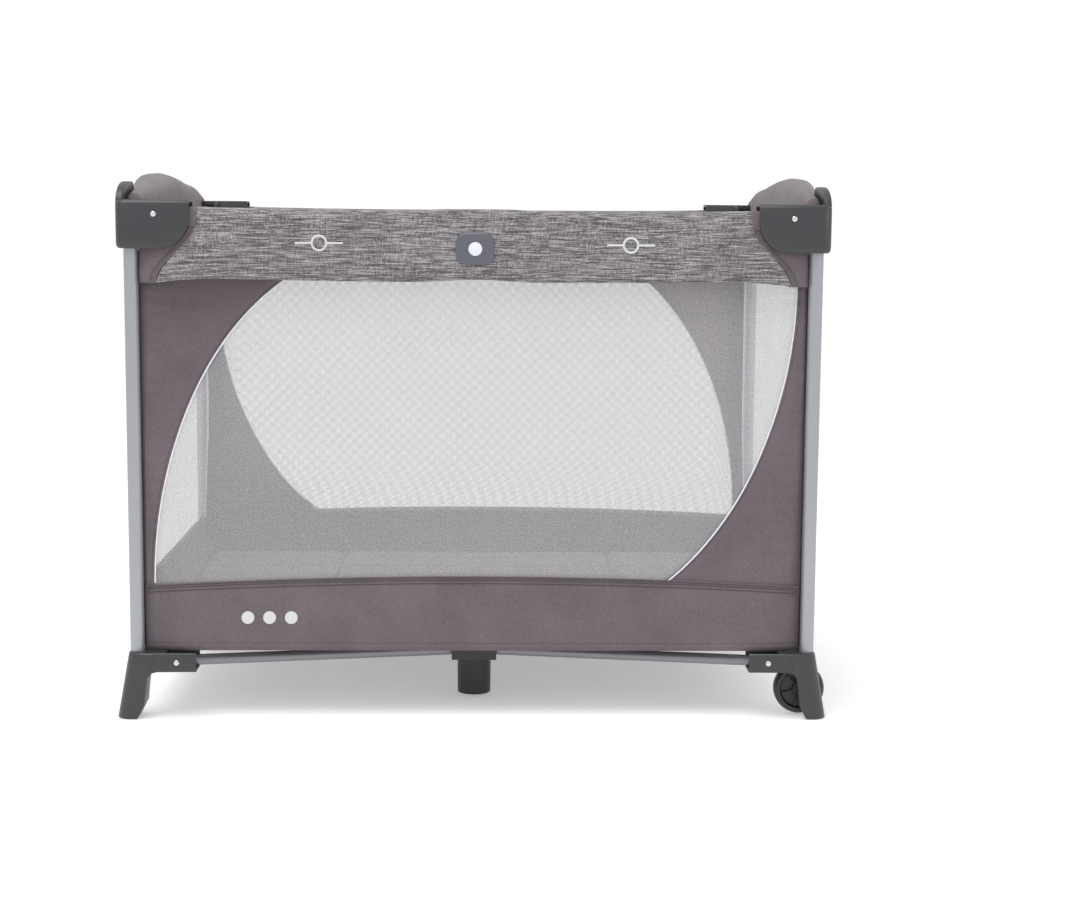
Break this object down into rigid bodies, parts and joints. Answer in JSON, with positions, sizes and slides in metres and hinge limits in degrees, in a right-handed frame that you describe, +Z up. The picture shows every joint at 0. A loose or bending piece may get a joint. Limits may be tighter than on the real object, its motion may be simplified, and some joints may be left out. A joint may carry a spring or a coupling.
{
  "type": "folding playpen",
  "caption": "Folding travel cot with padded top rails, mesh and fabric sides, a lift-up floor hub, corner feet and a pair of wheels.",
  "frame": {"origin": "centre of the footprint, on the floor", "axes": "+X along the length towards the wheels, +Y to the back, +Z up"},
  "size_m": [1.057, 0.734, 0.807],
  "materials": {
    "leg_metal": "satin",
    "tube_metal": "satin",
    "axle_steel": "satin",
    "moulded_plastic": "matte",
    "badge_plastic": "satin",
    "wheel_plastic": "matte",
    "side_fabric": "matte",
    "woven_fabric": "matte",
    "mattress_fabric": "matte",
    "webbing": "matte"
  },
  "bodies": {
    "post_front_left": {"leg_front_left": "leg_metal", "cap_front_left": "moulded_plastic", "foot_front_left": "moulded_plastic", "wall_front": "side_fabric", "wall_left": "side_fabric"},
    "floor_tube_front_left": {"floor_tube_front_left": "tube_metal"},
    "long_rail_front_left": {"long_rail_front_left": "tube_metal", "long_cover_front_left": "woven_fabric"},
    "end_rail_front_left": {"end_rail_front_left": "tube_metal", "end_cover_front_left": "side_fabric"},
    "post_front_right": {"leg_front_right": "leg_metal", "cap_front_right": "moulded_plastic", "foot_front_right": "moulded_plastic", "wall_right": "side_fabric", "axle_front": "axle_steel"},
    "floor_tube_front_right": {"floor_tube_front_right": "tube_metal"},
    "long_rail_front_right": {"long_rail_front_right": "tube_metal", "long_cover_front_right": "woven_fabric"},
    "end_rail_front_right": {"end_rail_front_right": "tube_metal", "end_cover_front_right": "side_fabric"},
    "post_back_left": {"leg_back_left": "leg_metal", "cap_back_left": "moulded_plastic", "foot_back_left": "moulded_plastic", "wall_back": "side_fabric"},
    "floor_tube_back_left": {"floor_tube_back_left": "tube_metal"},
    "long_rail_back_left": {"long_rail_back_left": "tube_metal", "long_cover_back_left": "woven_fabric"},
    "end_rail_back_left": {"end_rail_back_left": "tube_metal", "end_cover_back_left": "side_fabric"},
    "post_back_right": {"leg_back_right": "leg_metal", "cap_back_right": "moulded_plastic", "foot_back_right": "moulded_plastic", "axle_back": "axle_steel"},
    "floor_tube_back_right": {"floor_tube_back_right": "tube_metal"},
    "long_rail_back_right": {"long_rail_back_right": "tube_metal", "long_cover_back_right": "woven_fabric"},
    "end_rail_back_right": {"end_rail_back_right": "tube_metal", "end_cover_back_right": "side_fabric"},
    "wheel_front": {"wheel_front": "wheel_plastic"},
    "side_hub_front": {"side_hub_front": "moulded_plastic"},
    "cross_tube_front": {"cross_tube_front": "tube_metal"},
    "rail_housing_front": {"rail_housing_front": "moulded_plastic", "badge_front": "badge_plastic"},
    "rail_button_front": {"rail_button_front": "wheel_plastic"},
    "wheel_back": {"wheel_back": "wheel_plastic"},
    "side_hub_back": {"side_hub_back": "moulded_plastic"},
    "cross_tube_back": {"cross_tube_back": "tube_metal"},
    "rail_housing_back": {"rail_housing_back": "moulded_plastic", "badge_back": "badge_plastic"},
    "rail_button_back": {"rail_button_back": "wheel_plastic"},
    "rail_housing_left": {"rail_housing_left": "moulded_plastic"},
    "rail_button_left": {"rail_button_left": "wheel_plastic"},
    "mattress_inner_left": {"mattress_inner_left": "mattress_fabric"},
    "mattress_outer_left": {"mattress_outer_left": "mattress_fabric"},
    "rail_housing_right": {"rail_housing_right": "moulded_plastic"},
    "rail_button_right": {"rail_button_right": "wheel_plastic"},
    "mattress_inner_right": {"mattress_inner_right": "mattress_fabric"},
    "mattress_outer_right": {"mattress_outer_right": "mattress_fabric"},
    "centre_hub": {"centre_hub": "moulded_plastic", "pull_strap": "webbing"}
  },
  "joints": [
    {"name": "fold", "type": "hinge", "parent": "post_front_left", "child": "floor_tube_front_left", "pos_m": [-0.439, -0.34, 0.0835], "axis": [0.1797, -0.9837, 0], "range_deg": [0, 75], "deforming": ["wall_front", "wall_back", "wall_left", "wall_right", "long_cover_front_left", "long_cover_front_right", "long_cover_back_left", "long_cover_back_right", "end_cover_front_left", "end_cover_front_right", "end_cover_back_left", "end_cover_back_right", "mattress_inner_left", "mattress_inner_right", "mattress_outer_left", "mattress_outer_right", "pull_strap"]},
    {"name": "hub_front_pivot", "type": "hinge", "parent": "floor_tube_front_left", "child": "side_hub_front", "pos_m": [-0.012, -0.262, 0.0835], "axis": [0.1797, -0.9837, 0], "range_deg": [-75, 0]},
    {"name": "floor_tube_front_right_pivot", "type": "hinge", "parent": "side_hub_front", "child": "floor_tube_front_right", "pos_m": [0.012, -0.262, 0.0835], "axis": [0.1797, 0.9837, 0], "range_deg": [0, 75]},
    {"name": "foot_front_right_pivot", "type": "hinge", "parent": "floor_tube_front_right", "child": "post_front_right", "pos_m": [0.439, -0.34, 0.0835], "axis": [0.1797, 0.9837, 0], "range_deg": [-75, 0]},
    {"name": "cross_tube_front_pivot", "type": "hinge", "parent": "side_hub_front", "child": "cross_tube_front", "pos_m": [0, -0.232, 0.0835], "axis": [1, 0, 0], "range_deg": [0, 75]},
    {"name": "centre_hub_pivot", "type": "hinge", "parent": "cross_tube_front", "child": "centre_hub", "pos_m": [0, -0.04, 0.0835], "axis": [1, 0, 0], "range_deg": [-75, 0]},
    {"name": "cross_tube_back_pivot", "type": "hinge", "parent": "centre_hub", "child": "cross_tube_back", "pos_m": [0, 0.04, 0.0835], "axis": [-1, 0, 0], "range_deg": [0, 75]},
    {"name": "hub_back_pivot", "type": "hinge", "parent": "cross_tube_back", "child": "side_hub_back", "pos_m": [0, 0.232, 0.0835], "axis": [-1, 0, 0], "range_deg": [-75, 0]},
    {"name": "floor_tube_back_left_pivot", "type": "hinge", "parent": "side_hub_back", "child": "floor_tube_back_left", "pos_m": [-0.012, 0.262, 0.0835], "axis": [-0.1797, -0.9837, 0], "range_deg": [0, 75]},
    {"name": "foot_back_left_pivot", "type": "hinge", "parent": "floor_tube_back_left", "child": "post_back_left", "pos_m": [-0.439, 0.34, 0.0835], "axis": [-0.1797, -0.9837, 0], "range_deg": [-75, 0]},
    {"name": "floor_tube_back_right_pivot", "type": "hinge", "parent": "side_hub_back", "child": "floor_tube_back_right", "pos_m": [0.012, 0.262, 0.0835], "axis": [-0.1797, 0.9837, 0], "range_deg": [0, 75]},
    {"name": "foot_back_right_pivot", "type": "hinge", "parent": "floor_tube_back_right", "child": "post_back_right", "pos_m": [0.439, 0.34, 0.0835], "axis": [-0.1797, 0.9837, 0], "range_deg": [-75, 0]},
    {"name": "long_rail_front_left_pivot", "type": "hinge", "parent": "post_front_left", "child": "long_rail_front_left", "pos_m": [-0.462, -0.345, 0.741], "axis": [0, 1, 0], "range_deg": [0, 75]},
    {"name": "housing_front_pivot", "type": "hinge", "parent": "long_rail_front_left", "child": "rail_housing_front", "pos_m": [-0.035, -0.345, 0.741], "axis": [0, 1, 0], "range_deg": [-75, 0]},
    {"name": "end_rail_front_left_pivot", "type": "hinge", "parent": "post_front_left", "child": "end_rail_front_left", "pos_m": [-0.4987, -0.3, 0.76], "axis": [-1, 0, 0], "range_deg": [0, 75]},
    {"name": "housing_left_pivot", "type": "hinge", "parent": "end_rail_front_left", "child": "rail_housing_left", "pos_m": [-0.4987, -0.03, 0.76], "axis": [-1, 0, 0], "range_deg": [-75, 0]},
    {"name": "long_rail_front_right_pivot", "type": "hinge", "parent": "post_front_right", "child": "long_rail_front_right", "pos_m": [0.462, -0.345, 0.741], "axis": [0, -1, 0], "range_deg": [0, 75]},
    {"name": "end_rail_front_right_pivot", "type": "hinge", "parent": "post_front_right", "child": "end_rail_front_right", "pos_m": [0.4987, -0.3, 0.76], "axis": [-1, 0, 0], "range_deg": [0, 75]},
    {"name": "housing_right_pivot", "type": "hinge", "parent": "end_rail_front_right", "child": "rail_housing_right", "pos_m": [0.4987, -0.03, 0.76], "axis": [-1, 0, 0], "range_deg": [-75, 0]},
    {"name": "long_rail_back_left_pivot", "type": "hinge", "parent": "post_back_left", "child": "long_rail_back_left", "pos_m": [-0.462, 0.345, 0.741], "axis": [0, 1, 0], "range_deg": [0, 75]},
    {"name": "housing_back_pivot", "type": "hinge", "parent": "long_rail_back_left", "child": "rail_housing_back", "pos_m": [-0.035, 0.345, 0.741], "axis": [0, 1, 0], "range_deg": [-75, 0]},
    {"name": "end_rail_back_left_pivot", "type": "hinge", "parent": "post_back_left", "child": "end_rail_back_left", "pos_m": [-0.4987, 0.3, 0.76], "axis": [1, 0, 0], "range_deg": [0, 75]},
    {"name": "long_rail_back_right_pivot", "type": "hinge", "parent": "post_back_right", "child": "long_rail_back_right", "pos_m": [0.462, 0.345, 0.741], "axis": [0, -1, 0], "range_deg": [0, 75]},
    {"name": "end_rail_back_right_pivot", "type": "hinge", "parent": "post_back_right", "child": "end_rail_back_right", "pos_m": [0.4987, 0.3, 0.76], "axis": [1, 0, 0], "range_deg": [0, 75]},
    {"name": "mattress_inner_left_fold", "type": "hinge", "parent": "centre_hub", "child": "mattress_inner_left", "pos_m": [0, 0, 0.119], "axis": [0, -1, 0], "range_deg": [0, 75]},
    {"name": "mattress_outer_left_fold", "type": "hinge", "parent": "mattress_inner_left", "child": "mattress_outer_left", "pos_m": [-0.237, 0, 0.119], "axis": [0, -1, 0], "range_deg": [-150, 0]},
    {"name": "mattress_inner_right_fold", "type": "hinge", "parent": "centre_hub", "child": "mattress_inner_right", "pos_m": [0, 0, 0.119], "axis": [0, 1, 0], "range_deg": [0, 75]},
    {"name": "mattress_outer_right_fold", "type": "hinge", "parent": "mattress_inner_right", "child": "mattress_outer_right", "pos_m": [0.237, 0, 0.119], "axis": [0, 1, 0], "range_deg": [-150, 0]},
    {"name": "wheel_front_spin", "type": "hinge", "parent": "post_front_right", "child": "wheel_front", "pos_m": [0.4905, -0.33, 0.0405], "axis": [0, 1, 0], "continuous": true},
    {"name": "wheel_back_spin", "type": "hinge", "parent": "post_back_right", "child": "wheel_back", "pos_m": [0.4905, 0.33, 0.0405], "axis": [0, 1, 0], "continuous": true},
    {"name": "button_front_press", "type": "slide", "parent": "rail_housing_front", "child": "rail_button_front", "axis": [0, 0, 1], "range_m": [0, 0.004], "stiffness_N_per_m": 250, "springref_m": -0.002},
    {"name": "button_back_press", "type": "slide", "parent": "rail_housing_back", "child": "rail_button_back", "axis": [0, 0, 1], "range_m": [0, 0.004], "stiffness_N_per_m": 250, "springref_m": -0.002},
    {"name": "button_left_press", "type": "slide", "parent": "rail_housing_left", "child": "rail_button_left", "axis": [0, 0, 1], "range_m": [0, 0.004], "stiffness_N_per_m": 250, "springref_m": -0.002},
    {"name": "button_right_press", "type": "slide", "parent": "rail_housing_right", "child": "rail_button_right", "axis": [0, 0, 1], "range_m": [0, 0.004], "stiffness_N_per_m": 250, "springref_m": -0.002}
  ],
  "couplings": [
    {"joint": "hub_front_pivot", "follows": "fold", "ratio": -1},
    {"joint": "floor_tube_front_right_pivot", "follows": "fold", "ratio": 1},
    {"joint": "foot_front_right_pivot", "follows": "fold", "ratio": -1},
    {"joint": "cross_tube_front_pivot", "follows": "fold", "ratio": 1},
    {"joint": "centre_hub_pivot", "follows": "fold", "ratio": -1},
    {"joint": "cross_tube_back_pivot", "follows": "fold", "ratio": 1},
    {"joint": "hub_back_pivot", "follows": "fold", "ratio": -1},
    {"joint": "floor_tube_back_left_pivot", "follows": "fold", "ratio": 1},
    {"joint": "foot_back_left_pivot", "follows": "fold", "ratio": -1},
    {"joint": "floor_tube_back_right_pivot", "follows": "fold", "ratio": 1},
    {"joint": "foot_back_right_pivot", "follows": "fold", "ratio": -1},
    {"joint": "long_rail_front_left_pivot", "follows": "fold", "ratio": 1},
    {"joint": "housing_front_pivot", "follows": "fold", "ratio": -1},
    {"joint": "end_rail_front_left_pivot", "follows": "fold", "ratio": 1},
    {"joint": "housing_left_pivot", "follows": "fold", "ratio": -1},
    {"joint": "long_rail_front_right_pivot", "follows": "fold", "ratio": 1},
    {"joint": "end_rail_front_right_pivot", "follows": "fold", "ratio": 1},
    {"joint": "housing_right_pivot", "follows": "fold", "ratio": -1},
    {"joint": "long_rail_back_left_pivot", "follows": "fold", "ratio": 1},
    {"joint": "housing_back_pivot", "follows": "fold", "ratio": -1},
    {"joint": "end_rail_back_left_pivot", "follows": "fold", "ratio": 1},
    {"joint": "long_rail_back_right_pivot", "follows": "fold", "ratio": 1},
    {"joint": "end_rail_back_right_pivot", "follows": "fold", "ratio": 1},
    {"joint": "mattress_inner_left_fold", "follows": "fold", "ratio": 1},
    {"joint": "mattress_outer_left_fold", "follows": "fold", "ratio": -2},
    {"joint": "mattress_inner_right_fold", "follows": "fold", "ratio": 1},
    {"joint": "mattress_outer_right_fold", "follows": "fold", "ratio": -2}
  ]
}
